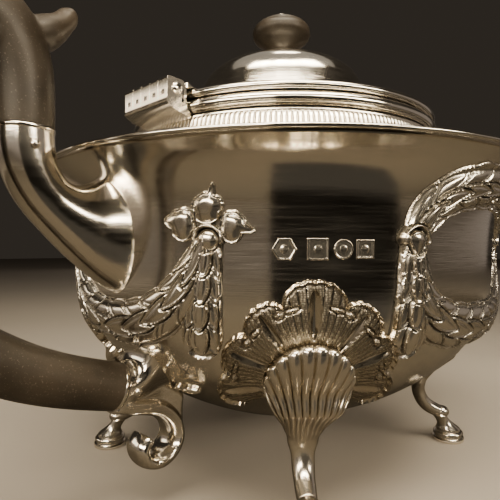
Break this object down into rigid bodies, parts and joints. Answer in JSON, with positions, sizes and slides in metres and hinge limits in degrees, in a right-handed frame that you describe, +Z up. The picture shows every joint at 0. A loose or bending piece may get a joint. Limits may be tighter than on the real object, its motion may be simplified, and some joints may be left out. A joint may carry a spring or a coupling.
{
  "type": "teapot",
  "caption": "Round silver teapot with a hinged domed lid, a black C handle, a curved spout, shell feet and laurel festoons.",
  "frame": {"origin": "on the axis of the bowl, on the table", "axes": "+Z up along the bowl's axis, +X towards the spout, -X towards the handle"},
  "size_m": [0.2237, 0.14, 0.1356],
  "materials": {
    "silver": "polished silver with fine wiping scratches",
    "chased_silver": "chased silver, bright on the high places and tarnished in the hollows",
    "black_wood": "ebonised wood, worn satin"
  },
  "bodies": {
    "pot": {"bowl": "silver", "rim_wire": "silver", "shoulder_plate": "silver", "neck_gallery": "chased_silver", "collar_moulding": "silver", "hinge_bracket": "silver", "hinge_pin": "silver", "handle_grip": "black_wood", "upper_socket": "silver", "lower_socket": "silver", "upper_socket_rivet": "silver", "lower_socket_rivet": "silver", "spout": "silver", "foot_front_left": "silver", "foot_front_right": "silver", "foot_back_right": "silver", "foot_back_left": "silver", "shell_mount_front_left": "chased_silver", "shell_mount_front_right": "chased_silver", "shell_mount_back_right": "chased_silver", "shell_mount_back_left": "chased_silver", "festoon_handle": "chased_silver", "swag_spout_a": "chased_silver", "swag_spout_b": "chased_silver", "wreath_lower_front": "chased_silver", "wreath_upper_front": "chased_silver", "wreath_lower_back": "chased_silver", "wreath_upper_back": "chased_silver", "laurel_drop_handle_a": "chased_silver", "laurel_drop_handle_b": "chased_silver", "laurel_drop_spout_a": "chased_silver", "laurel_drop_spout_b": "chased_silver", "laurel_drop_front_a": "chased_silver", "laurel_drop_front_b": "chased_silver", "laurel_drop_back_a": "chased_silver", "laurel_drop_back_b": "chased_silver", "flower_handle_a": "chased_silver", "flower_handle_b": "chased_silver", "flower_spout_a": "chased_silver", "flower_spout_b": "chased_silver"},
    "lid": {"lid_cover": "silver", "lid_edge_moulding": "silver", "lid_bezel": "silver", "lid_hinge_leaf": "silver", "finial_collet": "silver", "finial_knob": "black_wood", "finial_screw": "silver", "finial_nut": "silver"}
  },
  "joints": [
    {"name": "lid_hinge", "type": "hinge", "parent": "pot", "child": "lid", "pos_m": [-0.0484, 0, 0.097], "axis": [0, -1, 0], "range_deg": [0, 100]}
  ]
}
